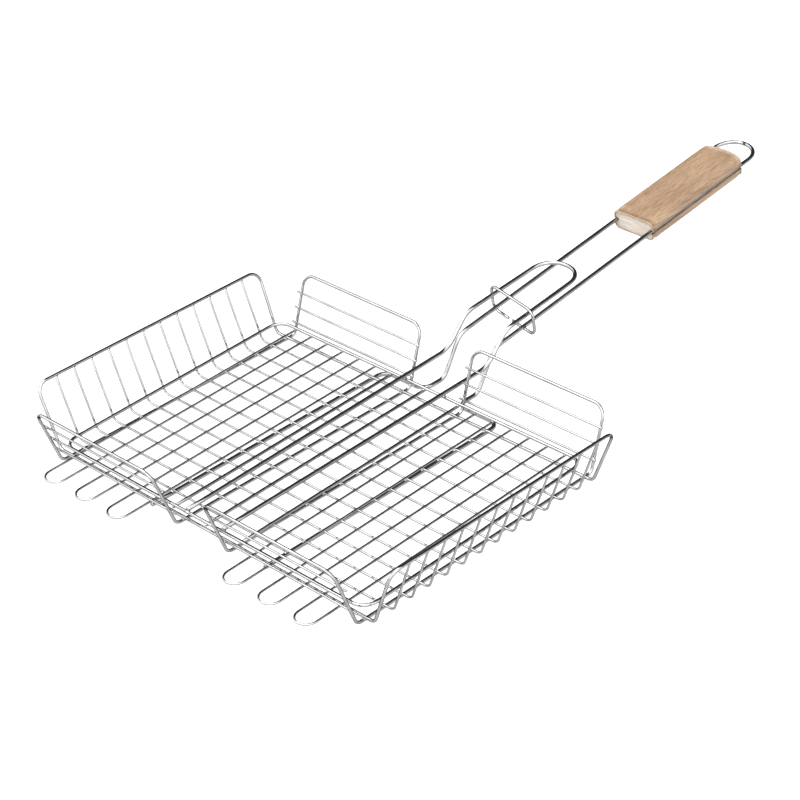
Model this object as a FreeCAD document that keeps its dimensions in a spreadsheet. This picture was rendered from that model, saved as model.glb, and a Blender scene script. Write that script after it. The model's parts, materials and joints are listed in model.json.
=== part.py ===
"""Grill basket with a hinged wire lid, a sliding lock ring and a wooden grip.

Millimetres, +Z up. X runs across the basket, +Y points from the front wall to the grip.
The sketches and paths use the basket's own zero: X on the middle line, Y on the front floor
wire and Z on the axis of the cross wires. Every sub-part's Placement then moves it so that the
origin of the finished object is the middle of its footprint, on the surface that it stands on.
"""
import FreeCAD, Part
import math
import os

import Sketcher

os.makedirs("parts", exist_ok=True)
doc = FreeCAD.newDocument("grill_basket")

# ---------------------------------------------------------------- driving dimensions

SIZES = [
    # wire diameters
    ("cross_wire_dia", 1.8),
    ("panel_wire_dia", 1.8),
    ("finger_wire_dia", 1.8),
    ("hoop_dia", 2.6),
    ("lid_frame_dia", 2.6),
    ("handle_dia", 3.4),
    ("ring_dia", 2.6),
    ("weld_sink", 0.2),
    # basket
    ("floor_length", 227.5),
    ("cross_wires", 12),
    ("wall_height", 50.7),
    ("side_foot_half", 171.3),
    ("side_lean", 20.0),
    ("side_rim_front_out", 1.5),
    ("side_rim_back_out", 2.0),
    ("edge_shift", 1.3),
    ("end_foot", 9.3),
    ("end_slope", 0.344),
    ("front_height", 50.1),
    ("back_height", 47.6),
    ("panel_inner", 28.2),
    ("panel_outer", 161.0),
    ("foot_bend", 6.0),
    ("rim_corner", 10.0),
    ("panel_wire_low", 8.8),
    ("panel_wire_pitch", 12.1),
    ("panel_wire_overhang", 3.1),
    # handle frame and grip
    ("runner_half", 62.0),
    ("runner_nub", 3.7),
    ("shoulder_setback", 14.4),
    ("frame_bend", 9.0),
    ("rod_half", 18.3),
    ("rise_foot", 265.0),
    ("rise_angle", 57.7),
    ("rise_top", 284.8),
    ("rod_angle", 6.96),
    ("rise_bend", 10.0),
    ("rod_bend", 18.0),
    ("grip_front", 475.5),
    ("grip_length", 122.0),
    ("grip_width", 42.0),
    ("grip_thickness", 18.0),
    ("grip_rounding", 5.0),
    ("grip_end_bow", 4.0),
    ("grip_end_rounding", 1.2),
    ("groove_clearance", 0.1),
    ("hanging_loop_gap", 8.0),
    # lid, measured from the hinge axis in the plane of the lid
    ("bar_pitch", 18.25),
    ("lid_tilt", 1.5),
    ("lid_front", 7.0),
    ("lid_back", 234.6),
    ("lid_corner", 12.0),
    ("hook_clearance", 0.25),
    ("finger_reach", 30.8),
    ("bar_overhang", 0.6),
    ("loop_half", 19.5),
    ("loop_rise_half", 21.4),
    ("loop_rise_foot", 284.5),
    ("loop_rise_angle", 44.5),
    ("loop_rise_top", 307.7),
    ("loop_rise_bend", 22.0),
    ("loop_rod_angle", 3.8),
    ("loop_length", 402.9),
    ("loop_tip_bend", 18.6),
    # lock ring
    ("ring_station", 328.0),
    ("ring_half", 26.5),
    ("ring_top", 16.0),
    ("ring_bottom", 7.5),
    ("ring_top_corner", 7.0),
    ("ring_bottom_corner", 7.0),
    ("ring_gap", 5.0),
    ("ring_gap_offset", 4.7),
    ("ring_yaw", 9.3),
    ("ring_roll", 2.0),
]

sheet = doc.addObject("Spreadsheet::Sheet", "sizes")
for row, (alias, value) in enumerate(SIZES, start=1):
    sheet.set("A%d" % row, alias)
    sheet.set("B%d" % row, str(value))
    sheet.setAlias("B%d" % row, alias)
doc.recompute()


def size(alias):
    """Return one driving dimension."""
    return float(getattr(sheet, alias))


# ---------------------------------------------------------------- derived places

CROSS_COUNT = int(size("cross_wires"))
CROSS_PITCH = size("floor_length") / (CROSS_COUNT + 1)
PANEL_WIRE_COUNT = 3

cross_r = size("cross_wire_dia") / 2
panel_r = size("panel_wire_dia") / 2
finger_r = size("finger_wire_dia") / 2
hoop_r = size("hoop_dia") / 2
lid_r = size("lid_frame_dia") / 2
handle_r = size("handle_dia") / 2
sink = size("weld_sink")

edge_z = hoop_r - cross_r                    # axis of the front and back floor wires
under_floor = -(cross_r - sink)              # top of every wire welded under the cross wires
panel_floor_z = under_floor - hoop_r
runner_z = under_floor - handle_r
rod_slope = math.tan(math.radians(size("rod_angle")))
rise_slope = math.tan(math.radians(size("rise_angle")))
rise_top_z = runner_z + rise_slope * (size("rise_top") - size("rise_foot"))

wall_tangent = size("end_slope")
wall_length = math.hypot(1.0, wall_tangent)
weld_offset = hoop_r + panel_r - sink        # panel wire axis to panel leg axis
weld_out = weld_offset / wall_length
weld_up = weld_offset * wall_tangent / wall_length

front_end = -wall_tangent * (size("panel_wire_low") - weld_up) - size("end_foot") + weld_out
hinge_y = front_end
hinge_z = size("panel_wire_low")

tilt = math.radians(size("lid_tilt"))
finger_z = -(panel_r + finger_r + size("hook_clearance"))
perimeter_z = finger_z + finger_r + lid_r - sink
bar_z = perimeter_z - 2 * lid_r + sink
loop_z = perimeter_z + lid_r + handle_r - sink

finger_tip_y = hinge_y - size("finger_reach") * math.cos(tilt) - finger_z * math.sin(tilt)
rod_cosine = math.cos(math.radians(size("rod_angle")))
hang_centre = size("grip_front") + (size("grip_length") + size("hanging_loop_gap")) * rod_cosine
hang_tip_y = hang_centre + size("rod_half") * rod_cosine
front_limit = finger_tip_y - finger_r
back_limit = hang_tip_y + handle_r
ORIGIN = FreeCAD.Vector(0, -(front_limit + back_limit) / 2, handle_r - runner_z)

nodes = []


def vector(x, y, z):
    return FreeCAD.Vector(x, y, z)


def rod_z(y):
    """Height of the handle rods' axis at a distance y behind the front floor wire."""
    return rise_top_z + rod_slope * (y - size("rise_top"))


def turned(base, angle):
    """A Placement at base, turned about X by angle degrees."""
    return FreeCAD.Placement(base + ORIGIN, FreeCAD.Rotation(vector(1, 0, 0), angle))


BASKET = turned(vector(0, 0, 0), 0)
LID = turned(vector(0, hinge_y, hinge_z), size("lid_tilt"))


def keep(feature, name, placement=None):
    """Give a finished sub-part its label and place and remember it for export."""
    feature.Label = name
    if placement is not None:
        feature.Placement = placement
    nodes.append(feature)
    return feature


# ---------------------------------------------------------------- bent wire

def rounded_path(points, radii):
    """Straight runs through the points, with a tangent arc of the given radius at each bend."""
    edges = []
    start = points[0]
    for before, corner, after, radius in zip(points, points[1:], points[2:], radii):
        towards = (before - corner).normalize()
        away = (after - corner).normalize()
        half = towards.getAngle(away) / 2
        reach = radius / math.tan(half)
        middle = (towards + away).normalize()
        centre = corner + middle * (radius / math.sin(half))
        first = corner + towards * reach
        last = corner + away * reach
        if start.distanceToPoint(first) > 1e-6:
            edges.append(Part.LineSegment(start, first).toShape())
        edges.append(Part.Arc(first, centre - middle * radius, last).toShape())
        start = last
    if start.distanceToPoint(points[-1]) > 1e-6:
        edges.append(Part.LineSegment(start, points[-1]).toShape())
    return Part.Wire(edges)


def sweep_along(name, points, radii, diameter_alias):
    """Sweep a round section of a sheet diameter along a rounded path."""
    wire = rounded_path(points, radii)
    path = doc.addObject("Part::Feature", name + "_path")
    path.Shape = wire
    section = doc.addObject("Part::Circle", name + "_section")
    section.setExpression("Radius", "sizes.%s / 2" % diameter_alias)
    along = FreeCAD.Rotation(vector(0, 0, 1), points[1] - points[0])
    section.Placement = FreeCAD.Placement(points[0], along)
    sweep = doc.addObject("Part::Sweep", name + "_sweep")
    sweep.Sections = [section]
    sweep.Spine = (path, ["Edge%d" % (number + 1) for number in range(len(wire.Edges))])
    sweep.Solid = True
    sweep.Frenet = False
    return sweep


def mirrored_pair(name, half):
    """Fuse a swept half with its mirror image in the plane x = 0."""
    other = doc.addObject("Part::Mirroring", name + "_mirror")
    other.Source = half
    other.Base = vector(0, 0, 0)
    other.Normal = vector(1, 0, 0)
    whole = doc.addObject("Part::MultiFuse", name)
    whole.Shapes = [half, other]
    whole.Refine = True
    return whole


def straight_wire(name, diameter_alias, start, length, direction, placement):
    """A straight cut wire as a cylinder."""
    rod = doc.addObject("Part::Cylinder", name)
    rod.setExpression("Radius", "sizes.%s / 2" % diameter_alias)
    rod.Height = length
    local = FreeCAD.Placement(start, FreeCAD.Rotation(vector(0, 0, 1), direction))
    return keep(rod, name, placement.multiply(local))


def origin_plane(body, role):
    """Find one of a body's own base planes by its role."""
    for feature in body.Origin.OriginFeatures:
        if feature.Role == role:
            return feature
    raise ValueError("no plane " + role)


def new_sketch(body, name, role, offset=0.0):
    """Attach an empty sketch to one of the body's base planes, shifted along its normal."""
    sketch = body.newObject("Sketcher::SketchObject", name)
    sketch.AttachmentSupport = [(origin_plane(body, role), "")]
    sketch.MapMode = "FlatFace"
    sketch.AttachmentOffset = FreeCAD.Placement(vector(0, 0, offset), FreeCAD.Rotation())
    return sketch


def round_section(body, name, role, diameter_alias, x=0.0, y=0.0, offset=0.0):
    """A circle sketch whose radius follows the sheet."""
    sketch = new_sketch(body, name, role, offset)
    sketch.addGeometry(Part.Circle(vector(x, y, 0), vector(0, 0, 1), 1.0), False)
    sketch.addConstraint(Sketcher.Constraint("DistanceX", -1, 1, 0, 3, x))
    sketch.addConstraint(Sketcher.Constraint("DistanceY", -1, 1, 0, 3, y))
    index = sketch.addConstraint(Sketcher.Constraint("Radius", 0, 1.0))
    sketch.setExpression("Constraints[%d]" % index, "sizes.%s / 2" % diameter_alias)
    return sketch


def pipe(body, name, section, spine):
    """Sweep a section sketch along every edge of a spine sketch."""
    feature = body.newObject("PartDesign::AdditivePipe", name)
    feature.Profile = section
    doc.recompute()
    names = ["Edge%d" % (number + 1) for number in range(len(spine.Shape.Edges))]
    feature.Spine = (spine, names)
    section.Visibility = False
    return feature


# ---------------------------------------------------------------- basket body

def make_side_hoop():
    """One closed wire: left rim, right rim and the front and back wires of the floor."""
    length = size("floor_length")
    foot = size("side_foot_half") + size("side_lean") * edge_z / size("wall_height")
    rim_x = size("side_foot_half") + size("side_lean")
    rim_z = size("wall_height")
    front = -size("edge_shift")
    back = length - size("edge_shift")
    points = [
        vector(0, front, edge_z),
        vector(foot, front, edge_z),
        vector(rim_x, -size("side_rim_front_out"), rim_z),
        vector(rim_x, length + size("side_rim_back_out"), rim_z),
        vector(foot, back, edge_z),
        vector(0, back, edge_z),
    ]
    bend = size("foot_bend")
    corner = size("rim_corner")
    half = sweep_along("side_hoop_half", points, [bend, corner, corner, bend], "hoop_dia")
    keep(mirrored_pair("side_hoop", half), "side_hoop", BASKET)


def make_panel_hoop(name, middle_x):
    """One closed wire: two floor wires with a front panel and a back panel turned up."""
    half_width = (size("panel_outer") - size("panel_inner")) / 2
    length = size("floor_length")
    foot = size("end_foot") + wall_tangent * panel_floor_z
    front_z = size("front_height")
    back_z = size("back_height")
    front = -size("end_foot") - wall_tangent * front_z
    back = length + size("end_foot") + wall_tangent * back_z
    points = [
        vector(0, front, front_z),
        vector(half_width, front, front_z),
        vector(half_width, -foot, panel_floor_z),
        vector(half_width, length + foot, panel_floor_z),
        vector(half_width, back, back_z),
        vector(0, back, back_z),
    ]
    bend = size("foot_bend")
    corner = size("rim_corner")
    half = sweep_along(name + "_half", points, [corner, bend, bend, corner], "hoop_dia")
    keep(mirrored_pair(name, half), name, turned(vector(middle_x, 0, 0), 0))


def make_cross_wire(number):
    """A thin wire across the floor and up both side walls to the rims."""
    name = "cross_wire_%02d" % number
    body = doc.addObject("PartDesign::Body", name)
    section = round_section(body, name + "_section", "YZ_Plane", "cross_wire_dia")
    spine = new_sketch(body, name + "_spine", "XZ_Plane")
    lean = size("side_lean") / size("wall_height")
    top = size("wall_height") - hoop_r + sink
    end = size("side_foot_half") + lean * top
    bend = size("foot_bend")
    wire = rounded_path(
        [vector(0, 0, 0), vector(size("side_foot_half"), 0, 0), vector(end, top, 0)],
        [bend],
    )
    for edge in wire.Edges:
        if edge.Curve.TypeId == "Part::GeomLine":
            ends = [vertex.Point for vertex in edge.Vertexes]
            spine.addGeometry(Part.LineSegment(ends[0], ends[1]), False)
        else:
            middle = edge.valueAt((edge.FirstParameter + edge.LastParameter) / 2)
            ends = [vertex.Point for vertex in edge.Vertexes]
            spine.addGeometry(Part.Arc(ends[0], middle, ends[1]), False)
    spine.addConstraint(Sketcher.Constraint("Coincident", 0, 1, -1, 1))
    spine.addConstraint(Sketcher.Constraint("Horizontal", 0))
    spine.addConstraint(Sketcher.Constraint("Tangent", 0, 2, 1, 1))
    spine.addConstraint(Sketcher.Constraint("Tangent", 1, 2, 2, 1))
    radius = spine.addConstraint(Sketcher.Constraint("Radius", 1, bend))
    spine.setExpression("Constraints[%d]" % radius, "sizes.foot_bend")
    reach = spine.addConstraint(Sketcher.Constraint("DistanceX", -1, 1, 2, 2, end))
    rise = "(sizes.wall_height - sizes.hoop_dia / 2 + sizes.weld_sink)"
    spine.setExpression(
        "Constraints[%d]" % reach,
        "sizes.side_foot_half + sizes.side_lean * %s / sizes.wall_height" % rise,
    )
    height = spine.addConstraint(Sketcher.Constraint("DistanceY", -1, 1, 2, 2, top))
    spine.setExpression("Constraints[%d]" % height, rise)
    slant = math.degrees(math.atan2(size("wall_height"), size("side_lean")))
    angle = spine.addConstraint(Sketcher.Constraint("Angle", 2, math.radians(slant)))
    spine.setExpression(
        "Constraints[%d]" % angle, "atan(sizes.wall_height / sizes.side_lean)"
    )
    half = pipe(body, name + "_half", section, spine)
    mirror = body.newObject("PartDesign::Mirrored", name + "_other_half")
    mirror.Originals = [half]
    mirror.MirrorPlane = (origin_plane(body, "YZ_Plane"), [""])
    body.Tip = mirror
    keep(body, name, turned(vector(0, CROSS_PITCH * number, 0), 0))


def make_panel_wires():
    """Three thin wires across each of the four end panels, on the inner faces of the legs."""
    length = size("floor_length")
    reach = size("panel_outer") - size("panel_inner") + 2 * size("panel_wire_overhang")
    inner = size("panel_inner") - size("panel_wire_overhang")
    levels = ["low", "middle", "high"]
    for index in range(PANEL_WIRE_COUNT):
        height = size("panel_wire_low") + size("panel_wire_pitch") * index
        setback = size("end_foot") + wall_tangent * (height - weld_up) - weld_out
        for end, y in (("front", -setback), ("back", length + setback)):
            for side, x in (("left", -inner - reach), ("right", inner)):
                name = "%s_%s_wire_%s" % (end, side, levels[index])
                start = vector(x, y, height)
                straight_wire(name, "panel_wire_dia", start, reach, vector(1, 0, 0), BASKET)


# ---------------------------------------------------------------- handle frame and grip

def make_handle_frame():
    """One thick wire: two runners under the floor, a shoulder, the rise and the hanging loop."""
    shoulder = size("floor_length") + size("shoulder_setback")
    half = size("rod_half")
    foot = size("rise_foot")
    top = size("rise_top")
    bend = size("frame_bend")
    rise = size("rise_bend")
    side = [
        vector(size("runner_half"), -size("runner_nub"), runner_z),
        vector(size("runner_half"), shoulder, runner_z),
        vector(half, shoulder, runner_z),
        vector(half, foot, runner_z),
        vector(half, top, rise_top_z),
        vector(half, hang_tip_y, rod_z(hang_tip_y)),
    ]
    middle = vector(0, hang_tip_y, rod_z(hang_tip_y))
    radii = [bend, bend, rise, size("rod_bend"), half - 1e-3]
    sweep = sweep_along("handle_frame_half", side + [middle], radii, "handle_dia")
    keep(mirrored_pair("handle_frame", sweep), "handle_frame", BASKET)


def rectangle(sketch, left, bottom, right, top):
    """Four lines that close a rectangle, joined corner to corner."""
    corners = [
        vector(left, bottom, 0),
        vector(right, bottom, 0),
        vector(right, top, 0),
        vector(left, top, 0),
    ]
    first = sketch.GeometryCount
    for index in range(4):
        sketch.addGeometry(Part.LineSegment(corners[index], corners[(index + 1) % 4]), False)
    for index in range(4):
        here = first + index
        following = first + (index + 1) % 4
        sketch.addConstraint(Sketcher.Constraint("Coincident", here, 2, following, 1))
    for index, kind in enumerate(["Horizontal", "Vertical", "Horizontal", "Vertical"]):
        sketch.addConstraint(Sketcher.Constraint(kind, first + index))
    return first


def bind(sketch, constraint, expression):
    """Add a dimension and tie it to the sheet."""
    index = sketch.addConstraint(constraint)
    sketch.setExpression("Constraints[%d]" % index, expression)


def make_grip():
    """A rounded block of beech with a groove along each side for the handle rods."""
    body = doc.addObject("PartDesign::Body", "wooden_grip")
    outline = new_sketch(body, "grip_outline", "XZ_Plane")
    wide = size("grip_width") / 2
    thick = size("grip_thickness") / 2
    rectangle(outline, -wide, -thick, wide, thick)
    bind(outline, Sketcher.Constraint("DistanceX", 0, 1, 0, 2, 2 * wide), "sizes.grip_width")
    bind(outline, Sketcher.Constraint("DistanceY", 1, 1, 1, 2, 2 * thick), "sizes.grip_thickness")
    bind(outline, Sketcher.Constraint("DistanceX", -1, 1, 0, 2, wide), "sizes.grip_width / 2")
    bind(outline, Sketcher.Constraint("DistanceY", 0, 2, -1, 1, thick), "sizes.grip_thickness / 2")
    block = body.newObject("PartDesign::Pad", "grip_block")
    block.Profile = outline
    block.setExpression("Length", "sizes.grip_length")
    block.Reversed = True
    doc.recompute()
    solid_volume = body.Shape.Volume

    grooves = new_sketch(body, "grip_grooves", "XZ_Plane")
    radius = handle_r + size("groove_clearance") / 2
    for side in (-1, 1):
        bottom = size("rod_half") * side
        mouth = (wide + 1) * side
        first = grooves.GeometryCount
        lower = vector(bottom, -radius, 0)
        upper = vector(bottom, radius, 0)
        outer_low = vector(mouth, -radius, 0)
        outer_high = vector(mouth, radius, 0)
        deepest = vector(bottom - radius * side, 0, 0)
        grooves.addGeometry(Part.Arc(upper, deepest, lower), False)
        grooves.addGeometry(Part.LineSegment(lower, outer_low), False)
        grooves.addGeometry(Part.LineSegment(outer_low, outer_high), False)
        grooves.addGeometry(Part.LineSegment(outer_high, upper), False)
        bind(grooves, Sketcher.Constraint("Radius", first, radius),
             "sizes.handle_dia / 2 + sizes.groove_clearance / 2")
    cut = body.newObject("PartDesign::Pocket", "grip_groove_cut")
    cut.Profile = grooves
    cut.Type = "ThroughAll"
    cut.Midplane = True
    doc.recompute()
    if body.Shape.Volume > solid_volume - 2 * radius * size("grip_length"):
        raise ValueError("the grooves cut nothing")

    bow = size("grip_end_bow")
    bow_radius = (wide ** 2 + bow ** 2) / (2 * bow)
    reach = wide + 1
    drop = bow_radius - math.sqrt(bow_radius ** 2 - reach ** 2)
    end = size("grip_length")
    ending = new_sketch(body, "grip_rounded_end", "XY_Plane")
    corners = [
        vector(reach, end - drop, 0),
        vector(reach, end + 1, 0),
        vector(-reach, end + 1, 0),
        vector(-reach, end - drop, 0),
    ]
    ending.addGeometry(Part.Arc(corners[0], vector(0, end, 0), corners[3]), False)
    for here, following in zip(corners, corners[1:]):
        ending.addGeometry(Part.LineSegment(here, following), False)
    bind(ending, Sketcher.Constraint("Radius", 0, bow_radius),
         "((sizes.grip_width / 2)^2 + sizes.grip_end_bow^2) / (2 * sizes.grip_end_bow)")
    end_cut = body.newObject("PartDesign::Pocket", "grip_end_cut")
    end_cut.Profile = ending
    end_cut.Type = "ThroughAll"
    end_cut.Midplane = True
    doc.recompute()

    long_edges = []
    end_edges = []
    for number, edge in enumerate(end_cut.Shape.Edges, start=1):
        box = edge.BoundBox
        outer_x = abs(abs(box.Center.x) - wide) < 0.01
        outer_z = abs(abs(box.Center.z) - thick) < 0.01
        if outer_x and outer_z and box.YLength > size("grip_length") / 2:
            long_edges.append("Edge%d" % number)
    rounding = body.newObject("PartDesign::Fillet", "grip_long_edges")
    rounding.Base = (end_cut, long_edges)
    rounding.setExpression("Radius", "sizes.grip_rounding")
    doc.recompute()
    for number, edge in enumerate(rounding.Shape.Edges, start=1):
        box = edge.BoundBox
        at_end = box.YMax < 0.01 or box.YMin > end - bow - 1
        on_top = abs(abs(box.Center.z) - thick) < 0.01 and box.ZLength < 0.01
        if at_end and on_top:
            end_edges.append("Edge%d" % number)
    softening = body.newObject("PartDesign::Fillet", "grip_end_edges")
    softening.Base = (rounding, end_edges)
    softening.setExpression("Radius", "sizes.grip_end_rounding")
    front = vector(0, size("grip_front"), rod_z(size("grip_front")))
    keep(body, "wooden_grip", turned(front, size("rod_angle")))


# ---------------------------------------------------------------- lid body

def make_lid_perimeter():
    """The closed round-cornered frame of the lid."""
    half_width = 9 * size("bar_pitch")
    middle = (size("lid_front") + size("lid_back")) / 2
    points = [
        vector(0, size("lid_front"), perimeter_z),
        vector(half_width, size("lid_front"), perimeter_z),
        vector(half_width, size("lid_back"), perimeter_z),
        vector(0, size("lid_back"), perimeter_z),
    ]
    corner = size("lid_corner")
    half = sweep_along("lid_perimeter_half", points, [corner, corner], "lid_frame_dia")
    keep(mirrored_pair("lid_perimeter", half), "lid_perimeter", LID)


def make_finger_wire(name, middle_x):
    """A hairpin: two thin lid wires joined in front by a U turn that hooks the front wall."""
    half = size("bar_pitch") / 2
    body = doc.addObject("PartDesign::Body", name)
    back = size("lid_back") + size("bar_overhang")
    section = round_section(
        body, name + "_section", "XZ_Plane", "finger_wire_dia", x=half, offset=-back
    )
    spine = new_sketch(body, name + "_spine", "XY_Plane")
    turn = half - size("finger_reach")
    spine.addGeometry(Part.LineSegment(vector(half, back, 0), vector(half, turn, 0)), False)
    tip = vector(0, turn - half, 0)
    spine.addGeometry(Part.Arc(vector(half, turn, 0), tip, vector(-half, turn, 0)), False)
    spine.addGeometry(Part.LineSegment(vector(-half, turn, 0), vector(-half, back, 0)), False)
    spine.addConstraint(Sketcher.Constraint("Vertical", 0))
    spine.addConstraint(Sketcher.Constraint("Tangent", 0, 2, 1, 2))
    spine.addConstraint(Sketcher.Constraint("Tangent", 1, 1, 2, 1))
    spine.addConstraint(Sketcher.Constraint("Vertical", 2))
    bind(spine, Sketcher.Constraint("Radius", 1, half), "sizes.bar_pitch / 2")
    bind(spine, Sketcher.Constraint("DistanceX", -1, 1, 0, 1, half), "sizes.bar_pitch / 2")
    bind(spine, Sketcher.Constraint("DistanceY", -1, 1, 0, 1, back),
         "sizes.lid_back + sizes.bar_overhang")
    bind(spine, Sketcher.Constraint("DistanceY", -1, 1, 2, 2, back),
         "sizes.lid_back + sizes.bar_overhang")
    bind(spine, Sketcher.Constraint("DistanceY", 1, 3, -1, 1, -turn),
         "sizes.finger_reach - sizes.bar_pitch / 2")
    pipe(body, name + "_pipe", section, spine)
    place = FreeCAD.Placement(vector(middle_x, 0, finger_z), FreeCAD.Rotation())
    keep(body, name, LID.multiply(place))


def make_lid_bar(name, x):
    """A thick straight bar welded under the lid frame."""
    front = size("lid_front") - size("bar_overhang")
    length = size("lid_back") - size("lid_front") + 2 * size("bar_overhang")
    start = vector(x, front, bar_z)
    straight_wire(name, "lid_frame_dia", start, length, vector(0, 1, 0), LID)


def make_lid_handle_loop():
    """One thick wire on top of the lid that rises behind it and ends in a U above the rods."""
    half = size("loop_half")
    wide = size("loop_rise_half")
    foot = size("loop_rise_foot")
    top = size("loop_rise_top")
    rise = (top - foot) * math.tan(math.radians(size("loop_rise_angle")))
    slope = math.tan(math.radians(size("loop_rod_angle")))
    end = size("loop_length")
    side = [
        vector(half, size("lid_front") - size("bar_overhang"), loop_z),
        vector(wide, foot, loop_z),
        vector(wide, top, loop_z + rise),
        vector(half, end, loop_z + rise + slope * (end - top)),
    ]
    middle = vector(0, side[-1].y, side[-1].z)
    radii = [size("loop_rise_bend"), size("loop_rise_bend"), size("loop_tip_bend")]
    sweep = sweep_along("lid_handle_loop_half", side + [middle], radii, "handle_dia")
    keep(mirrored_pair("lid_handle_loop", sweep), "lid_handle_loop", LID)


def make_lid():
    pitch = size("bar_pitch")
    make_lid_perimeter()
    for index in range(3):
        distance = pitch * (3.5 + 2 * index)
        make_finger_wire("left_finger_wire_%d" % (index + 1), -distance)
        make_finger_wire("right_finger_wire_%d" % (index + 1), distance)
    for name, place in (("left", -2), ("middle", 0), ("right", 2)):
        make_lid_bar("lid_bar_" + name, place * pitch)
    make_lid_handle_loop()


# ---------------------------------------------------------------- lock ring

def make_lock_ring():
    """A flattened ring around the four rods, with its two cut ends facing below."""
    half = size("ring_half")
    top = size("ring_top")
    bottom = -size("ring_bottom")
    left_end = -size("ring_gap_offset") - size("ring_gap") / 2
    right_end = left_end + size("ring_gap")
    points = [
        vector(left_end, 0, bottom),
        vector(-half, 0, bottom),
        vector(-half, 0, top),
        vector(half, 0, top),
        vector(half, 0, bottom),
        vector(right_end, 0, bottom),
    ]
    low = size("ring_bottom_corner")
    high = size("ring_top_corner")
    sweep = sweep_along("lock_ring", points, [low, high, high, low], "ring_dia")
    station = size("ring_station")
    across = turned(vector(0, station, rod_z(station)), size("rod_angle"))
    yaw = FreeCAD.Rotation(vector(0, 0, 1), -size("ring_yaw"))
    roll = FreeCAD.Rotation(vector(0, 1, 0), size("ring_roll"))
    skew = FreeCAD.Placement(vector(0, 0, 0), yaw.multiply(roll))
    keep(sweep, "lock_ring", across.multiply(skew))


# ---------------------------------------------------------------- build, check and export

make_side_hoop()
panel_middle = (size("panel_inner") + size("panel_outer")) / 2
make_panel_hoop("left_panel_hoop", -panel_middle)
make_panel_hoop("right_panel_hoop", panel_middle)
for number in range(1, CROSS_COUNT + 1):
    make_cross_wire(number)
make_panel_wires()
make_handle_frame()
make_grip()
make_lid()
make_lock_ring()
doc.recompute()

for feature in doc.Objects:
    if "Invalid" in feature.State or "Error" in feature.State:
        raise ValueError("failed: %s %s" % (feature.Label, feature.State))

for node in nodes:
    shape = node.Shape
    if shape.isNull() or not shape.isValid() or len(shape.Solids) != 1:
        raise ValueError("bad shape: %s, %d solids" % (node.Label, len(shape.Solids)))
    shape.exportStep("parts/%s.step" % node.Label)
    print("%-26s %9.1f mm3" % (node.Label, shape.Volume))
print(len(nodes), "nodes")
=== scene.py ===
import json
import math
import random

import bmesh
import bpy
from mathutils import Matrix, Vector


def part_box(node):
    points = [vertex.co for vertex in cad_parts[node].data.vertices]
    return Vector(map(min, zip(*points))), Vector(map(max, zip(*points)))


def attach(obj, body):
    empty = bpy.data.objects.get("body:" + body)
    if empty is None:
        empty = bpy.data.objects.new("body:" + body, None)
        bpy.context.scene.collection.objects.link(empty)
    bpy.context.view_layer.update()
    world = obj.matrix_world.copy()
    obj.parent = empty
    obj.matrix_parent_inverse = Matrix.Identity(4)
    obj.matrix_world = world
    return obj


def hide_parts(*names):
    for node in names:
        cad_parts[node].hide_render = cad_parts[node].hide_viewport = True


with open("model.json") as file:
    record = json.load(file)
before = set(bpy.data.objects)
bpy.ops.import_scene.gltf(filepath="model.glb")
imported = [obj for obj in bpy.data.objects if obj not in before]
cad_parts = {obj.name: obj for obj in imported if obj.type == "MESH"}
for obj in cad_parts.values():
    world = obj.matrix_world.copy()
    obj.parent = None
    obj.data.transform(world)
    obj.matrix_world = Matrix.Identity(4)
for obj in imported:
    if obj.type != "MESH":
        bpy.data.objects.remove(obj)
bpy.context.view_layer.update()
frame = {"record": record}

MM = 0.001
SEGMENTS = 16            # sides of a wire's section
ARC_STEP = math.radians(9)

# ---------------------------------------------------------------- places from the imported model


def centre(node):
    low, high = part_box(node)
    return (low + high) / 2


def extent(node):
    low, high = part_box(node)
    return high - low


CROSS_WIRES = 12
first_wire = centre("cross_wire_01")
last_wire = centre("cross_wire_%02d" % CROSS_WIRES)
PITCH = (last_wire.y - first_wire.y) / (CROSS_WIRES - 1)
THIN_R = extent("cross_wire_01").y / 2
FLOOR_Y = first_wire.y - PITCH                       # where a wire number 0 would be
FLOOR_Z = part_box("cross_wire_01")[0].z + THIN_R      # axis of the floor's cross wires
FLOOR = Vector((0, FLOOR_Y, FLOOR_Z))

HOOP_R = extent("lid_bar_middle").x / 2
ROD_R = 1.7 * MM
SINK = 0.2 * MM

WALL_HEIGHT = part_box("side_hoop")[1].z - HOOP_R - FLOOR_Z
RIM_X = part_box("side_hoop")[1].x - HOOP_R
SIDE_LEAN = 20.0 * MM
FOOT_X = RIM_X - SIDE_LEAN
FLOOR_LENGTH = PITCH * (CROSS_WIRES + 1)
EDGE_Z = HOOP_R - THIN_R
PANEL_FLOOR_Z = -(THIN_R - SINK) - HOOP_R
RUNNER_Z = -(THIN_R - SINK) - ROD_R

hinge = next(j for j in frame["record"]["behaviour"]["joints"] if j["name"] == "lid_hinge")
HINGE = Vector(hinge["pos_m"])
LID_TILT = math.radians(1.5)
slide = next(j for j in frame["record"]["behaviour"]["joints"] if j["name"] == "lock_ring_slide")
ROD_AXIS = Vector(slide["axis"])
ROD_ANGLE = math.atan2(ROD_AXIS.z, ROD_AXIS.y)


def base(x, y, z):
    """A point measured in millimetres from the middle of the floor's front edge, in the row frame."""
    return FLOOR + Vector((x, y, z)) * MM


def on_lid(x, y, z):
    """A point measured from the hinge in the lid's plane, in metres, in the row frame."""
    return HINGE + Matrix.Rotation(LID_TILT, 3, "X") @ Vector((x, y, z))


# ---------------------------------------------------------------- materials


def nodes_of(name):
    material = bpy.data.materials.new(name)
    material.use_nodes = True
    tree = material.node_tree
    shader = tree.nodes["Principled BSDF"]
    return material, tree, shader


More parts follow.
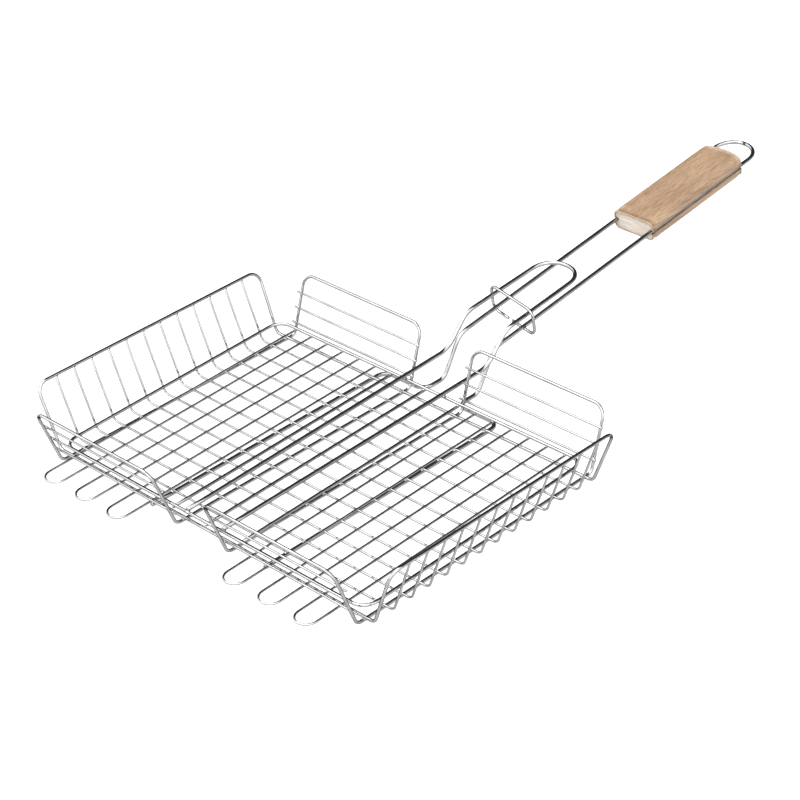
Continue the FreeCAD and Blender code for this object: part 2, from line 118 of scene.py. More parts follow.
def coordinates(tree, scale):
    place = tree.nodes.new("ShaderNodeTexCoord")
    mapping = tree.nodes.new("ShaderNodeMapping")
    mapping.inputs["Scale"].default_value = scale
    tree.links.new(place.outputs["Object"], mapping.inputs["Vector"])
    return mapping.outputs["Vector"]


def noise(tree, where, scale, detail=3.0, roughness=0.55):
    texture = tree.nodes.new("ShaderNodeTexNoise")
    texture.inputs["Scale"].default_value = scale
    texture.inputs["Detail"].default_value = detail
    texture.inputs["Roughness"].default_value = roughness
    tree.links.new(where, texture.inputs["Vector"])
    return texture.outputs["Fac"]


def spread(tree, value, low, high, out_low, out_high):
    ranged = tree.nodes.new("ShaderNodeMapRange")
    ranged.inputs["From Min"].default_value = low
    ranged.inputs["From Max"].default_value = high
    ranged.inputs["To Min"].default_value = out_low
    ranged.inputs["To Max"].default_value = out_high
    tree.links.new(value, ranged.inputs["Value"])
    return ranged.outputs["Result"]


def ramp(tree, value, stops):
    colours = tree.nodes.new("ShaderNodeValToRGB")
    elements = colours.color_ramp.elements
    while len(elements) < len(stops):
        elements.new(0.5)
    for element, (position, colour) in zip(elements, stops):
        element.position = position
        element.color = colour + (1.0,)
    tree.links.new(value, colours.inputs["Fac"])
    return colours.outputs["Color"]


def bump(tree, value, strength, distance):
    node = tree.nodes.new("ShaderNodeBump")
    node.inputs["Strength"].default_value = strength
    node.inputs["Distance"].default_value = distance
    tree.links.new(value, node.inputs["Height"])
    return node


def make_chrome():
    """Chrome plating: a slightly uneven tint and gloss, and a soft ripple."""
    material, tree, shader = nodes_of("chrome_wire")
    where = coordinates(tree, (1, 1, 1))
    cloud = noise(tree, where, 55.0, 4.0)
    fine = noise(tree, where, 900.0, 2.0)
    tint = ramp(tree, cloud, [
        (0.30, (0.26, 0.262, 0.268)),
        (0.55, (0.33, 0.332, 0.335)),
        (0.75, (0.39, 0.39, 0.39)),
    ])
    tree.links.new(tint, shader.inputs["Base Color"])
    shader.inputs["Metallic"].default_value = 1.0
    shader.inputs["Specular Tint"].default_value = (0.05, 0.05, 0.05, 1.0)
    tree.links.new(spread(tree, cloud, 0.3, 0.7, 0.05, 0.12), shader.inputs["Roughness"])
    ripple = bump(tree, fine, 0.05, 0.0002)
    tree.links.new(ripple.outputs["Normal"], shader.inputs["Normal"])
    return material


def make_weld():
    """Chrome over a rough weld: darker and duller in its pits."""
    material, tree, shader = nodes_of("weld_chrome")
    where = coordinates(tree, (1, 1, 1))
    pits = noise(tree, where, 1200.0, 4.0)
    tint = ramp(tree, pits, [
        (0.35, (0.30, 0.30, 0.31)),
        (0.60, (0.62, 0.62, 0.63)),
        (0.80, (0.78, 0.78, 0.78)),
    ])
    tree.links.new(tint, shader.inputs["Base Color"])
    shader.inputs["Metallic"].default_value = 1.0
    tree.links.new(spread(tree, pits, 0.3, 0.7, 0.34, 0.18), shader.inputs["Roughness"])
    rough = bump(tree, pits, 0.5, 0.0003)
    tree.links.new(rough.outputs["Normal"], shader.inputs["Normal"])
    return material


def make_cut_steel():
    """The sheared end of a wire: dull grey steel with shear lines."""
    material, tree, shader = nodes_of("cut_steel")
    where = coordinates(tree, (1, 1, 9))
    lines = noise(tree, where, 700.0, 4.0)
    tint = ramp(tree, lines, [
        (0.30, (0.10, 0.10, 0.10)),
        (0.60, (0.26, 0.26, 0.26)),
        (0.80, (0.40, 0.40, 0.39)),
    ])
    tree.links.new(tint, shader.inputs["Base Color"])
    shader.inputs["Metallic"].default_value = 0.8
    shader.inputs["Roughness"].default_value = 0.42
    rough = bump(tree, lines, 0.4, 0.0002)
    tree.links.new(rough.outputs["Normal"], shader.inputs["Normal"])
    return material


def mix_colours(tree, factor, first, second, mode="MIX"):
    mix = tree.nodes.new("ShaderNodeMix")
    mix.data_type = "RGBA"
    mix.blend_type = mode
    if isinstance(factor, float):
        mix.inputs["Factor"].default_value = factor
    else:
        tree.links.new(factor, mix.inputs["Factor"])
    colour_inputs = [i for i in mix.inputs if i.type == "RGBA"]
    for socket, value in zip(colour_inputs, (first, second)):
        if isinstance(value, tuple):
            socket.default_value = value + (1.0,)
        else:
            tree.links.new(value, socket)
    return [o for o in mix.outputs if o.type == "RGBA"][0]


def make_beech():
    """Oiled beech with long grain, broad colour bands and short dark ray flecks."""
    material, tree, shader = nodes_of("beech")
    bands = noise(tree, coordinates(tree, (1.0, 0.05, 1.0)), 130.0, 4.0, 0.6)
    grain = noise(tree, coordinates(tree, (1.0, 0.03, 1.0)), 900.0, 5.0, 0.65)
    cloud = noise(tree, coordinates(tree, (1.0, 0.4, 1.0)), 30.0, 2.0)
    flecks = tree.nodes.new("ShaderNodeTexVoronoi")
    flecks.inputs["Scale"].default_value = 560.0
    tree.links.new(coordinates(tree, (1.0, 0.13, 1.0)), flecks.inputs["Vector"])
    colour = ramp(tree, bands, [
        (0.30, (0.195, 0.128, 0.078)),
        (0.50, (0.245, 0.168, 0.106)),
        (0.70, (0.295, 0.210, 0.140)),
    ])
    streak = ramp(tree, grain, [
        (0.38, (0.60, 0.54, 0.48)),
        (0.58, (1.06, 1.06, 1.06)),
    ])
    colour = mix_colours(tree, 0.75, colour, streak, "MULTIPLY")
    warm = ramp(tree, cloud, [
        (0.30, (0.86, 0.82, 0.80)),
        (0.70, (1.10, 1.06, 1.02)),
    ])
    colour = mix_colours(tree, 0.6, colour, warm, "MULTIPLY")
    dark = spread(tree, flecks.outputs["Distance"], 0.07, 0.17, 0.8, 0.0)
    colour = mix_colours(tree, dark, colour, (0.130, 0.055, 0.025))
    tree.links.new(colour, shader.inputs["Base Color"])
    tree.links.new(spread(tree, grain, 0.3, 0.7, 0.55, 0.42), shader.inputs["Roughness"])
    shader.inputs["Specular IOR Level"].default_value = 0.45
    height = bump(tree, grain, 0.25, 0.0003)
    pits = bump(tree, dark, 0.25, 0.0002)
    pits.invert = True
    tree.links.new(height.outputs["Normal"], pits.inputs["Normal"])
    tree.links.new(pits.outputs["Normal"], shader.inputs["Normal"])
    return material


def make_end_grain():
    """The sawn end of the beech: paler, with fine pores and faint growth lines."""
    material, tree, shader = nodes_of("beech_end_grain")
    pores = noise(tree, coordinates(tree, (1.0, 1.0, 1.0)), 1500.0, 3.0)
    rings = noise(tree, coordinates(tree, (0.15, 1.0, 1.0)), 500.0, 3.0)
    colour = ramp(tree, rings, [
        (0.35, (0.35, 0.31, 0.26)),
        (0.65, (0.44, 0.40, 0.36)),
    ])
    speck = ramp(tree, pores, [
        (0.35, (0.66, 0.60, 0.54)),
        (0.55, (1.0, 1.0, 1.0)),
    ])
    colour = mix_colours(tree, 0.6, colour, speck, "MULTIPLY")
    tree.links.new(colour, shader.inputs["Base Color"])
    shader.inputs["Roughness"].default_value = 0.7
    height = bump(tree, pores, 0.3, 0.0003)
    tree.links.new(height.outputs["Normal"], shader.inputs["Normal"])
    return material


def make_floor_material():
    """A white studio sweep with a very faint unevenness."""
    material, tree, shader = nodes_of("studio_white")
    cloud = noise(tree, coordinates(tree, (1, 1, 1)), 3.0, 3.0)
    tint = ramp(tree, cloud, [(0.3, (0.29, 0.29, 0.29)), (0.7, (0.31, 0.31, 0.31))])
    tree.links.new(tint, shader.inputs["Base Color"])
    shader.inputs["Emission Color"].default_value = (1.0, 1.0, 1.0, 1.0)
    shader.inputs["Emission Strength"].default_value = 0.82
    shader.inputs["Roughness"].default_value = 1.0
    shader.inputs["Specular IOR Level"].default_value = 0.0
    return material


CHROME = make_chrome()
WELD = make_weld()
CUT = make_cut_steel()
BEECH = make_beech()
END_GRAIN = make_end_grain()

# ---------------------------------------------------------------- bent wire


def rounded(points, radii):
    """Points along straight runs with a tangent arc of the given radius at each bend."""
    path = [points[0]]
    for before, corner, after, radius in zip(points, points[1:], points[2:], radii):
        towards = (before - corner).normalized()
        away = (after - corner).normalized()
        half = towards.angle(away) / 2
        reach = radius / math.tan(half)
        centre_point = corner + (towards + away).normalized() * (radius / math.sin(half))
        first = corner + towards * reach - centre_point
        sweep = math.pi - 2 * half
        axis = first.cross(corner + away * reach - centre_point).normalized()
        steps = max(3, int(math.ceil(sweep / ARC_STEP)))
        for step in range(steps + 1):
            turn = Matrix.Rotation(sweep * step / steps, 3, axis)
            path.append(centre_point + turn @ first)
    path.append(points[-1])
    clean = [path[0]]
    for point in path[1:]:
        if (point - clean[-1]).length > 1e-6:
            clean.append(point)
    return clean


def divided(path, longest=0.02):
    """The same path with long straight runs split, so that the mesh has even faces."""
    out = [path[0]]
    for start, end in zip(path, path[1:]):
        count = max(1, int(math.ceil((end - start).length / longest)))
        for step in range(1, count + 1):
            out.append(start.lerp(end, step / count))
    return out


def mirrored_loop(half):
    """A closed path from a half that starts and ends on the plane x = 0."""
    other = [Vector((-p.x, p.y, p.z)) for p in reversed(half)]
    return half + other[1:-1]


def mirrored_open(half):
    """An open path from a half that ends on the plane x = 0."""
    other = [Vector((-p.x, p.y, p.z)) for p in reversed(half)]
    return half + other[1:]


def frames_along(path, closed):
    """A tangent and a twist-free normal at each point of a path."""
    count = len(path)
    tangents = []
    for i in range(count):
        before = path[i - 1] if (i or closed) else path[0]
        after = path[(i + 1) % count] if (i < count - 1 or closed) else path[-1]
        tangents.append((after - before).normalized())
    normal = tangents[0].orthogonal().normalized()
    normals = [normal]
    for previous, here in zip(tangents, tangents[1:]):
        normal = previous.rotation_difference(here) @ normal
        normal = (normal - here * normal.dot(here)).normalized()
        normals.append(normal)
    if closed:
        final = tangents[-1].rotation_difference(tangents[0]) @ normals[-1]
        twist = math.atan2(tangents[0].dot(final.cross(normals[0])), final.dot(normals[0]))
        for i in range(count):
            turn = Matrix.Rotation(twist * i / count, 3, tangents[i])
            normals[i] = turn @ normals[i]
    return tangents, normals


def add_tube(bm, path, radius, closed=False, sides=SEGMENTS, chamfer=0.12):
    """Skin a path with a round tube; open ends are sheared flat with a small chamfer."""
    stations = [(p, radius) for p in path]
    if not closed:
        for end, inner in ((0, 1), (-1, -2)):
            inward = (path[inner] - path[end]).normalized() * radius * chamfer * 2
            rim = (path[end], radius * (1 - chamfer))
            shoulder = (path[end] + inward, radius)
            if end == 0:
                stations[0:1] = [rim, shoulder]
            else:
                stations[-1:] = [shoulder, rim]
    tangents, normals = frames_along([s[0] for s in stations], closed)
    rings = []
    for (point, size_here), tangent, normal in zip(stations, tangents, normals):
        side = tangent.cross(normal)
        ring = []
        for k in range(sides):
            angle = 2 * math.pi * k / sides
            offset = (normal * math.cos(angle) + side * math.sin(angle)) * size_here
            ring.append(bm.verts.new(point + offset))
        rings.append(ring)
    pairs = list(zip(rings, rings[1:]))
    if closed:
        pairs.append((rings[-1], rings[0]))
    for near, far in pairs:
        for k in range(sides):
            following = (k + 1) % sides
            face = bm.faces.new((near[k], near[following], far[following], far[k]))
            face.smooth = True
    if not closed:
        for ring, outwards in ((rings[0], True), (rings[-1], False)):
            cap = bm.faces.new(tuple(reversed(ring)) if outwards else tuple(ring))
            cap.material_index = 1


def object_from(bm, name, body, materials):
    mesh = bpy.data.meshes.new(name)
    bmesh.ops.recalc_face_normals(bm, faces=bm.faces)
    bm.to_mesh(mesh)
    bm.free()
    obj = bpy.data.objects.new(name, mesh)
    bpy.context.scene.collection.objects.link(obj)
    for material in materials:
        mesh.materials.append(material)
    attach(obj, body)
    return obj


def wire(name, body, path, radius, stands_for, closed=False):
    bm = bmesh.new()
    add_tube(bm, divided(path), radius, closed)
    obj = object_from(bm, name, body, [CHROME, CUT])
    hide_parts(stands_for)
    return obj


# ---------------------------------------------------------------- welds

WELDS = {"basket": [], "lid": []}
WELD_SEED = 17


def weld(body, point, first, second, size_m):
    """Remember a small saddle of weld metal where two wires cross or meet."""
    WELDS[body].append((point, first.normalized(), second.normalized(), size_m))


def make_welds(body):
    """Low irregular nuggets in the corners between crossing wires."""
    rng = random.Random(WELD_SEED)
    bm = bmesh.new()
    for point, first, second, size_m in WELDS[body]:
        up = first.cross(second).normalized()
        made = bmesh.ops.create_uvsphere(bm, u_segments=10, v_segments=6, radius=1.0)
        stretch = [1.25 + 0.3 * rng.random(), 1.15 + 0.3 * rng.random(), 0.55]
        for vertex in made["verts"]:
            local = vertex.co
            wobble = 1 + 0.10 * math.sin(5 * local.x + 3 * rng.random() * 0.2 + 4 * local.y)
            vertex.co = point + size_m * wobble * (
                first * local.x * stretch[0]
                + second * local.y * stretch[1]
                + up * local.z * stretch[2]
            )
        for face in {f for v in made["verts"] for f in v.link_faces}:
            face.smooth = True
    return object_from(bm, body + "_welds", body, [WELD])


# ---------------------------------------------------------------- basket

X_AXIS = Vector((1, 0, 0))
Y_AXIS = Vector((0, 1, 0))
TURN_GAP = 0.01 * MM      # what keeps a U turn's arc just short of the middle plane
FOOT_BEND = 6.0 * MM
RIM_CORNER = 10.0 * MM
EDGE_SHIFT = 1.3 * MM
SIDE_SLOPE = SIDE_LEAN / WALL_HEIGHT


def make_side_hoop():
    front = -EDGE_SHIFT
    back = FLOOR_LENGTH - EDGE_SHIFT
    low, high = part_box("side_hoop")
    foot = FOOT_X + SIDE_SLOPE * EDGE_Z
    rim_front = low.y + HOOP_R - FLOOR_Y
    rim_back = high.y - HOOP_R - FLOOR_Y
    half = rounded([
        FLOOR + Vector((0, front, EDGE_Z)),
        FLOOR + Vector((foot, front, EDGE_Z)),
        FLOOR + Vector((RIM_X, rim_front, WALL_HEIGHT)),
        FLOOR + Vector((RIM_X, rim_back, WALL_HEIGHT)),
        FLOOR + Vector((foot, back, EDGE_Z)),
        FLOOR + Vector((0, back, EDGE_Z)),
    ], [FOOT_BEND, RIM_CORNER, RIM_CORNER, FOOT_BEND])
    wire("side_hoop_wire", "basket", mirrored_loop(half), HOOP_R, "side_hoop", True)


PANEL_SLOPE = 0.344
PANEL_FOOT = 9.3 * MM
BACK_PANEL_HEIGHT = 47.6 * MM
LEVELS = ("low", "middle", "high")

# half sizes of the weld nuggets, named after the wires that they join
THIN_WELD = 1.0 * MM
SMALL_WELD = 1.05 * MM
RUNNER_WELD = 1.15 * MM
RIM_WELD = 1.25 * MM
HOOP_WELD = 1.3 * MM
LOOP_WELD = 1.35 * MM


def panel_y(height):
    """How far a panel's leg stands outside the end of the floor at a height."""
    return PANEL_FOOT + PANEL_SLOPE * height


def make_panel_hoop(side):
    node = side + "_panel_hoop"
    low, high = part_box(node)
    middle = (low.x + high.x) / 2
    half_width = (high.x - low.x) / 2 - HOOP_R
    wall = panel_y(PANEL_FLOOR_Z)
    front_z = high.z - HOOP_R - FLOOR_Z
    back_z = BACK_PANEL_HEIGHT
    half = rounded([
        Vector((0, -panel_y(front_z), front_z)),
        Vector((half_width, -panel_y(front_z), front_z)),
        Vector((half_width, -wall, PANEL_FLOOR_Z)),
        Vector((half_width, FLOOR_LENGTH + wall, PANEL_FLOOR_Z)),
        Vector((half_width, FLOOR_LENGTH + panel_y(back_z), back_z)),
        Vector((0, FLOOR_LENGTH + panel_y(back_z), back_z)),
    ], [RIM_CORNER, FOOT_BEND, FOOT_BEND, RIM_CORNER])
    shift = FLOOR + Vector((middle, 0, 0))
    path = [shift + p for p in mirrored_loop(half)]
    wire(node + "_wire", "basket", path, HOOP_R, node, True)
    for x in (middle - half_width, middle + half_width):
        for number in range(1, CROSS_WIRES + 1):
            spot = Vector((x, FLOOR_Y + PITCH * number, FLOOR_Z - THIN_R))
            weld("basket", spot, X_AXIS, Y_AXIS, THIN_WELD)
        for y in (-EDGE_SHIFT, FLOOR_LENGTH - EDGE_SHIFT):
            spot = Vector((x, FLOOR_Y + y, FLOOR_Z - THIN_R))
            weld("basket", spot, X_AXIS, Y_AXIS, HOOP_WELD)
        for end, sign in (("front", -1), ("back", 1)):
            for level in LEVELS:
                across = centre("%s_%s_wire_%s" % (end, side, level))
                leg = Vector((x, across.y, across.z))
                outward = Vector((0, sign, -PANEL_SLOPE)).normalized()
                spot = leg + outward * THIN_R
                weld("basket", spot, X_AXIS, Vector((0, sign * PANEL_SLOPE, 1)), SMALL_WELD)


def make_cross_wire(number):
    node = "cross_wire_%02d" % number
    y = centre(node).y
    top = WALL_HEIGHT - HOOP_R + SINK
    end = FOOT_X + SIDE_SLOPE * top
    half = rounded([
        Vector((end, y, FLOOR_Z + top)),
        Vector((FOOT_X, y, FLOOR_Z)),
        Vector((0, y, FLOOR_Z)),
    ], [FOOT_BEND])
    wire(node + "_wire", "basket", mirrored_open(half), THIN_R, node)
    for sign in (-1, 1):
        spot = Vector((sign * end, y, FLOOR_Z + top))
        weld("basket", spot, Y_AXIS, X_AXIS, RIM_WELD)


def make_straight(node, body, radius):
    low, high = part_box(node)
    middle = (low + high) / 2
    start = Vector((low.x, middle.y, middle.z))
    end = Vector((high.x, middle.y, middle.z))
    wire(node + "_cut", body, [start, end], radius, node)


HANG_HALF = 18.3 * MM


def make_handle_frame():
    """The thick wire: runners, shoulders, rise, rods and hanging loop. Sizes in millimetres."""
    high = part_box("handle_frame")[1]
    runner_x = 62.0
    runner_front = -3.7
    shoulder = 241.9
    shoulder_bend, rise_bend, rod_bend = 9.0 * MM, 10.0 * MM, 18.0 * MM
    foot_y, top_y = 265.0, 284.8
    rise_angle = math.radians(57.7)
    rise = math.tan(rise_angle) * (top_y - foot_y)
    runner = RUNNER_Z / MM
    rod = runner + rise
    slope = math.tan(ROD_ANGLE)
    tip_y = (high.y - ROD_R - FLOOR_Y) / MM
    tip_z = rod + slope * (tip_y - top_y)
    half_mm = HANG_HALF / MM
    half = rounded([
        base(runner_x, runner_front, runner),
        base(runner_x, shoulder, runner),
        base(half_mm, shoulder, runner),
        base(half_mm, foot_y, runner),
        base(half_mm, top_y, rod),
        base(half_mm, tip_y, tip_z),
        base(0, tip_y, tip_z),
    ], [shoulder_bend, shoulder_bend, rise_bend, rod_bend, HANG_HALF - TURN_GAP])
    wire("handle_frame_wire", "basket", mirrored_open(half), ROD_R, "handle_frame")
    for sign in (-1, 1):
        for number in range(CROSS_WIRES + 2):
            at_end = number in (0, CROSS_WIRES + 1)
            y = FLOOR_Y + PITCH * number - (EDGE_SHIFT if at_end else 0)
            spot = Vector((sign * runner_x * MM, y, FLOOR_Z - THIN_R))
            weld("basket", spot, X_AXIS, Y_AXIS, RUNNER_WELD)
    return rod, top_y, slope


# ---------------------------------------------------------------- lid

LID_PITCH = centre("lid_bar_right").x / 2
HOOK_CLEARANCE = 0.25 * MM
FINGER_Z = -(2 * THIN_R + HOOK_CLEARANCE)
PERIMETER_Z = FINGER_Z + THIN_R + HOOP_R - SINK
BAR_Z = PERIMETER_Z - 2 * HOOP_R + SINK
LOOP_Z = PERIMETER_Z + HOOP_R + ROD_R - SINK
LID_FRONT = 7.0 * MM
LID_BACK = 234.6 * MM
OVERHANG = 0.6 * MM
LID_CORNER = 12.0 * MM
FINGER_REACH = 30.8 * MM
LID_TURN = Matrix.Rotation(LID_TILT, 3, "X")


def make_lid_perimeter():
    width = 9 * LID_PITCH
    half = rounded([
        Vector((0, LID_FRONT, PERIMETER_Z)),
        Vector((width, LID_FRONT, PERIMETER_Z)),
        Vector((width, LID_BACK, PERIMETER_Z)),
        Vector((0, LID_BACK, PERIMETER_Z)),
    ], [LID_CORNER, LID_CORNER])
    path = [on_lid(*p) for p in mirrored_loop(half)]
    wire("lid_perimeter_wire", "lid", path, HOOP_R, "lid_perimeter", True)


def make_finger_wire(side, number):
    node = "%s_finger_wire_%d" % (side, number)
    middle = centre(node).x
    half = LID_PITCH / 2
    tip = -FINGER_REACH
    back = LID_BACK + OVERHANG
    points = [
        Vector((half, back, FINGER_Z)),
        Vector((half, tip, FINGER_Z)),
        Vector((0, tip, FINGER_Z)),
    ]
    path = mirrored_open(rounded(points, [half - TURN_GAP]))
    path = [on_lid(p.x + middle, p.y, p.z) for p in path]
    wire(node + "_wire", "lid", path, THIN_R, node)
    for x in (middle - half, middle + half):
        for y in (LID_FRONT, LID_BACK):
            spot = on_lid(x, y, FINGER_Z + THIN_R)
            weld("lid", spot, X_AXIS, LID_TURN @ Y_AXIS, SMALL_WELD)


def make_lid_bar(node):
    x = centre(node).x
    start = on_lid(x, LID_FRONT - OVERHANG, BAR_Z)
    end = on_lid(x, LID_BACK + OVERHANG, BAR_Z)
    wire(node + "_wire", "lid", [start, end], HOOP_R, node)
    for y in (LID_FRONT, LID_BACK):
        weld("lid", on_lid(x, y, BAR_Z + HOOP_R), X_AXIS, LID_TURN @ Y_AXIS, HOOP_WELD)


def make_lid_loop():
    """The lid's handle: two rods that rise behind the basket into a U. Sizes in millimetres."""
    front_half = 19.5
    rise_half = 21.4
    foot_y, top_y = 284.5, 307.7
    loop = LOOP_Z / MM
    rise_angle, rod_angle = math.radians(44.5), math.radians(3.8)
    rise = math.tan(rise_angle) * (top_y - foot_y)
    end_y = 402.9
    end_z = loop + rise + math.tan(rod_angle) * (end_y - top_y)
    start_y = (LID_FRONT - OVERHANG) / MM
    rise_bend, tip_bend = 22.0, 18.6
    points = [
        Vector((front_half, start_y, loop)),
        Vector((rise_half, foot_y, loop)),
        Vector((rise_half, top_y, loop + rise)),
        Vector((front_half, end_y, end_z)),
        Vector((0, end_y, end_z)),
    ]
    path = mirrored_open(rounded(points, [rise_bend, rise_bend, tip_bend]))
    path = [on_lid(*(p * MM)) for p in path]
    wire("lid_handle_loop_wire", "lid", path, ROD_R, "lid_handle_loop")
    for y in (LID_FRONT, LID_BACK):
        x = front_half + (rise_half - front_half) * (y / MM - start_y) / (foot_y - start_y)
        for sign in (-1, 1):
            spot = on_lid(sign * x * MM, y, LOOP_Z - ROD_R)
            weld("lid", spot, X_AXIS, LID_TURN @ Y_AXIS, LOOP_WELD)


# ---------------------------------------------------------------- ring and grip


def make_ring(rod, top_y, slope):
    """The flattened lock ring, slightly askew on the rods. Sizes in millimetres."""
    station = 328.0
    half, top, bottom = 26.5, 16.0, -7.5
    gap_middle, gap = -4.7, 5.0
    bend = 7.0
    yaw, roll = math.radians(-9.3), math.radians(2.0)
    origin = base(0, station, rod + slope * (station - top_y))
    turn = (
        Matrix.Rotation(ROD_ANGLE, 3, "X")
        @ Matrix.Rotation(yaw, 3, "Z")
        @ Matrix.Rotation(roll, 3, "Y")
    )
    left_end = gap_middle - gap / 2
    right_end = left_end + gap
    points = [
        Vector((left_end, 0, bottom)),
        Vector((-half, 0, bottom)),
        Vector((-half, 0, top)),
        Vector((half, 0, top)),
        Vector((half, 0, bottom)),
        Vector((right_end, 0, bottom)),
    ]
    path = rounded(points, [bend] * 4)
    path = [origin + turn @ (p * MM) for p in path]
    wire("lock_ring_wire", "ring", path, HOOP_R, "lock_ring")


def grip_section(wide, thick, rounding, groove_r, groove_x, corner_steps=6, groove_steps=8):
    """Half of the grip's outline on the +x side, from the bottom middle to the top middle."""
    points = [(0.0, -thick)]
    flat = wide - rounding
    face_steps = 4
    for step in range(1, face_steps):
        points.append((flat * step / face_steps, -thick))
    for step in range(corner_steps + 1):
        angle = -math.pi / 2 + (math.pi / 2) * step / corner_steps
        points.append((flat + rounding * math.cos(angle),
                       -thick + rounding + rounding * math.sin(angle)))
    edge = 0.35 * MM
    points.append((wide, -groove_r - edge))
    points.append((wide - edge, -groove_r))
    points.append(((wide + groove_x) / 2, -groove_r))
    for step in range(groove_steps + 1):
        angle = -math.pi / 2 - math.pi * step / groove_steps
        points.append((groove_x + groove_r * math.cos(angle), groove_r * math.sin(angle)))
    points.append(((wide + groove_x) / 2, groove_r))
    points.append((wide - edge, groove_r))
    points.append((wide, groove_r + edge))
    for step in range(corner_steps + 1):
        angle = (math.pi / 2) * step / corner_steps
        points.append((flat + rounding * math.cos(angle),
                       thick - rounding + rounding * math.sin(angle)))
    for step in range(face_steps - 1, 0, -1):
        points.append((flat * step / face_steps, thick))
    points.append((0.0, thick))
    return points


def make_grip(rod, top_y, slope):
    """A beech block with grooved sides, rounded edges and a bowed rear end."""
    front = 475.5
    length = 122.0 * MM
    wide, thick = 21.0 * MM, 9.0 * MM        # half the width and half the thickness
    rounding = 5.0 * MM
    bow = 4.0 * MM
    softness = 1.2 * MM
    groove_slack = 0.05 * MM
    groove_zone = 0.4 * MM
    flat_zone = 2.0 * MM
    bow_r = (wide ** 2 + bow ** 2) / (2 * bow)
    half = grip_section(wide, thick, rounding, ROD_R + groove_slack, HANG_HALF)
    outline = half + [(-x, z) for x, z in reversed(half[1:-1])]

    def end_y(x):
        return length - (bow_r - math.sqrt(bow_r ** 2 - x ** 2))

    def station_y(kind, along, x):
        if kind == "front":
            return along
        if kind == "back":
            return end_y(x) - along
        return softness + along * (end_y(x) - 2 * softness)

    bm = bmesh.new()
    rings = []
    soft_steps = 4
    stations = []
    for step in range(soft_steps + 1):
        angle = math.pi / 2 * step / soft_steps
        stations.append(("front", softness * (1 - math.sin(angle))))
    spans = 24
    for step in range(1, spans):
        stations.append(("middle", step / spans))
    for step in range(soft_steps, -1, -1):
        angle = math.pi / 2 * step / soft_steps
        stations.append(("back", softness * (1 - math.sin(angle))))
    for kind, along in stations:
        inset = 0.0
        if kind != "middle":
            inset = softness * (1 - math.sqrt(max(0.0, 1 - (1 - along / softness) ** 2)))
        ring = []
        for x, z in outline:
            in_groove = abs(z) < ROD_R + groove_zone
            pull_x = 0.0 if in_groove else inset * min(1.0, abs(x) / wide)
            new_x = math.copysign(max(0.0, abs(x) - pull_x), x) if x else 0.0
            near_face = min(1.0, max(0.0, (abs(z) - flat_zone) / (thick - flat_zone)))
            new_z = math.copysign(abs(z) - inset * near_face, z)
            ring.append(bm.verts.new((new_x, station_y(kind, along, new_x), new_z)))
        rings.append(ring)
    count = len(outline)
    for near, far in zip(rings, rings[1:]):
        for k in range(count):
            following = (k + 1) % count
            face = bm.faces.new((near[k], near[following], far[following], far[k]))
            face.smooth = True
    for ring in (rings[0], rings[-1]):
        cap = bm.faces.new(ring)
        cap.material_index = 1
    place = Matrix.Translation(base(0, front, rod + slope * (front - top_y)))
    place = place @ Matrix.Rotation(ROD_ANGLE, 4, "X")
    obj = object_from(bm, "beech_grip", "basket", [BEECH, END_GRAIN])
    obj.data.transform(place)
    bm = bmesh.new()
    bm.from_mesh(obj.data)
    bmesh.ops.triangulate(bm, faces=[f for f in bm.faces if len(f.verts) > 4])
    bm.to_mesh(obj.data)
    bm.free()
    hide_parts("wooden_grip")


make_side_hoop()
for side_name in ("left", "right"):
    make_panel_hoop(side_name)
    for end_name in ("front", "back"):
        for level_name in LEVELS:
            make_straight("%s_%s_wire_%s" % (end_name, side_name, level_name), "basket", THIN_R)
    for index in (1, 2, 3):
        make_finger_wire(side_name, index)
for index in range(1, CROSS_WIRES + 1):
    make_cross_wire(index)
ROD_START = make_handle_frame()
make_lid_perimeter()
for bar in ("lid_bar_left", "lid_bar_middle", "lid_bar_right"):
    make_lid_bar(bar)
make_lid_loop()
make_ring(*ROD_START)
make_grip(*ROD_START)
make_welds("basket")
make_welds("lid")

# ---------------------------------------------------------------- floor, light and camera


def make_floor():
    bm = bmesh.new()
    bmesh.ops.create_grid(bm, x_segments=8, y_segments=8, size=6.0)
    mesh = bpy.data.meshes.new("studio_floor")
    bm.to_mesh(mesh)
    bm.free()
    floor = bpy.data.objects.new("studio_floor", mesh)
    bpy.context.scene.collection.objects.link(floor)
    mesh.materials.append(make_floor_material())


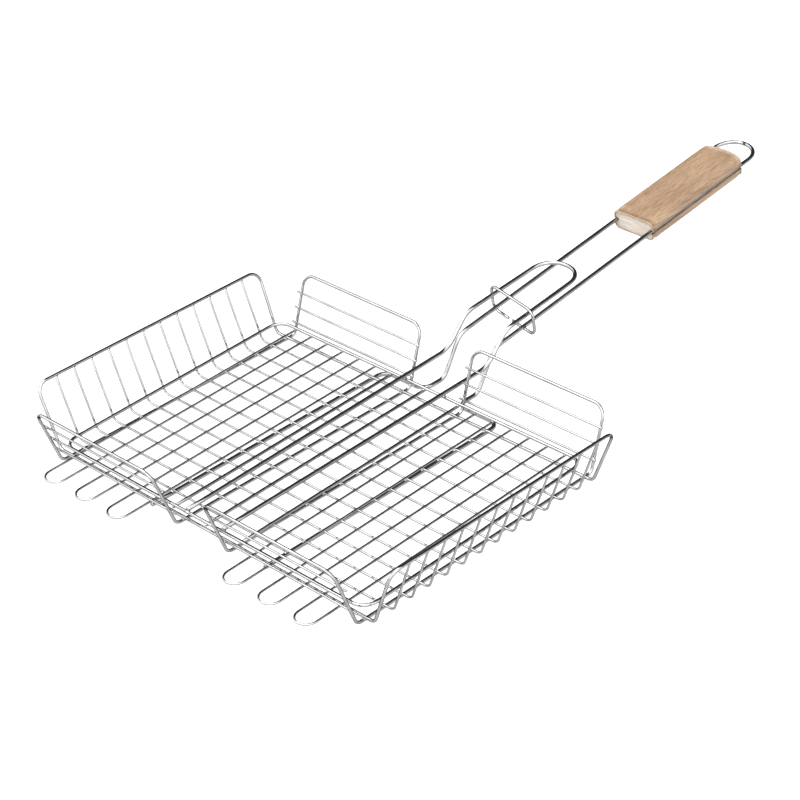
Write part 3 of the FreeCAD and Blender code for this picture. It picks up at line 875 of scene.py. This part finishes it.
def make_world():
    """White studio surroundings with one wide dark area behind the object."""
    world = bpy.data.worlds.new("studio")
    bpy.context.scene.world = world
    world.use_nodes = True
    tree = world.node_tree
    background = tree.nodes["Background"]
    place = tree.nodes.new("ShaderNodeTexCoord")
    dot = tree.nodes.new("ShaderNodeVectorMath")
    dot.operation = "DOT_PRODUCT"
    dark_towards = Vector((-0.15, 0.95, 0.20)).normalized()
    dot.inputs[1].default_value = dark_towards
    tree.links.new(place.outputs["Generated"], dot.inputs[0])
    colours = ramp(tree, dot.outputs["Value"], [
        (0.00, (1.0, 1.0, 1.0)),
        (0.34, (1.0, 1.0, 1.0)),
        (0.50, (0.045, 0.045, 0.05)),
        (1.00, (0.02, 0.02, 0.025)),
    ])
    tree.links.new(colours, background.inputs["Color"])
    background.inputs["Strength"].default_value = 2.8


def area_light(name, place, towards, width, height, power):
    light = bpy.data.lights.new(name, "AREA")
    light.shape = "RECTANGLE"
    light.size = width
    light.size_y = height
    light.energy = power
    obj = bpy.data.objects.new(name, light)
    obj.location = place
    obj.rotation_euler = (Vector(towards) - Vector(place)).to_track_quat("-Z", "Y").to_euler()
    bpy.context.scene.collection.objects.link(obj)


def make_camera():
    azimuth, elevation, roll = (math.radians(a) for a in (46.5528, 31.7223, -3.8193))
    focal_length, shift = 114.784, -0.00885
    place = base(1216.629, -946.956, 1048.651)
    back = Vector((math.sin(azimuth) * math.cos(elevation),
                   -math.cos(azimuth) * math.cos(elevation),
                   math.sin(elevation)))
    right = Vector((math.cos(azimuth), math.sin(azimuth), 0))
    up = back.cross(right)
    turned_right = right * math.cos(roll) + up * math.sin(roll)
    turned_up = up * math.cos(roll) - right * math.sin(roll)
    camera = bpy.data.cameras.new("camera")
    camera.sensor_width = 36.0
    camera.lens = focal_length
    camera.shift_x = shift
    camera.clip_start = 0.05
    camera.clip_end = 50.0
    obj = bpy.data.objects.new("camera", camera)
    rotation = Matrix((turned_right, turned_up, back)).transposed().to_4x4()
    obj.matrix_world = Matrix.Translation(place) @ rotation
    bpy.context.scene.collection.objects.link(obj)
    bpy.context.scene.camera = obj


make_floor()
make_world()
area_light("key", (-0.9, -0.6, 2.2), (0, 0, 0), 1.6, 1.6, 30.0)
area_light("fill", (1.4, -1.2, 1.8), (0, 0, 0), 1.6, 1.6, 16.0)
make_camera()
bpy.context.scene.view_settings.view_transform = "Standard"
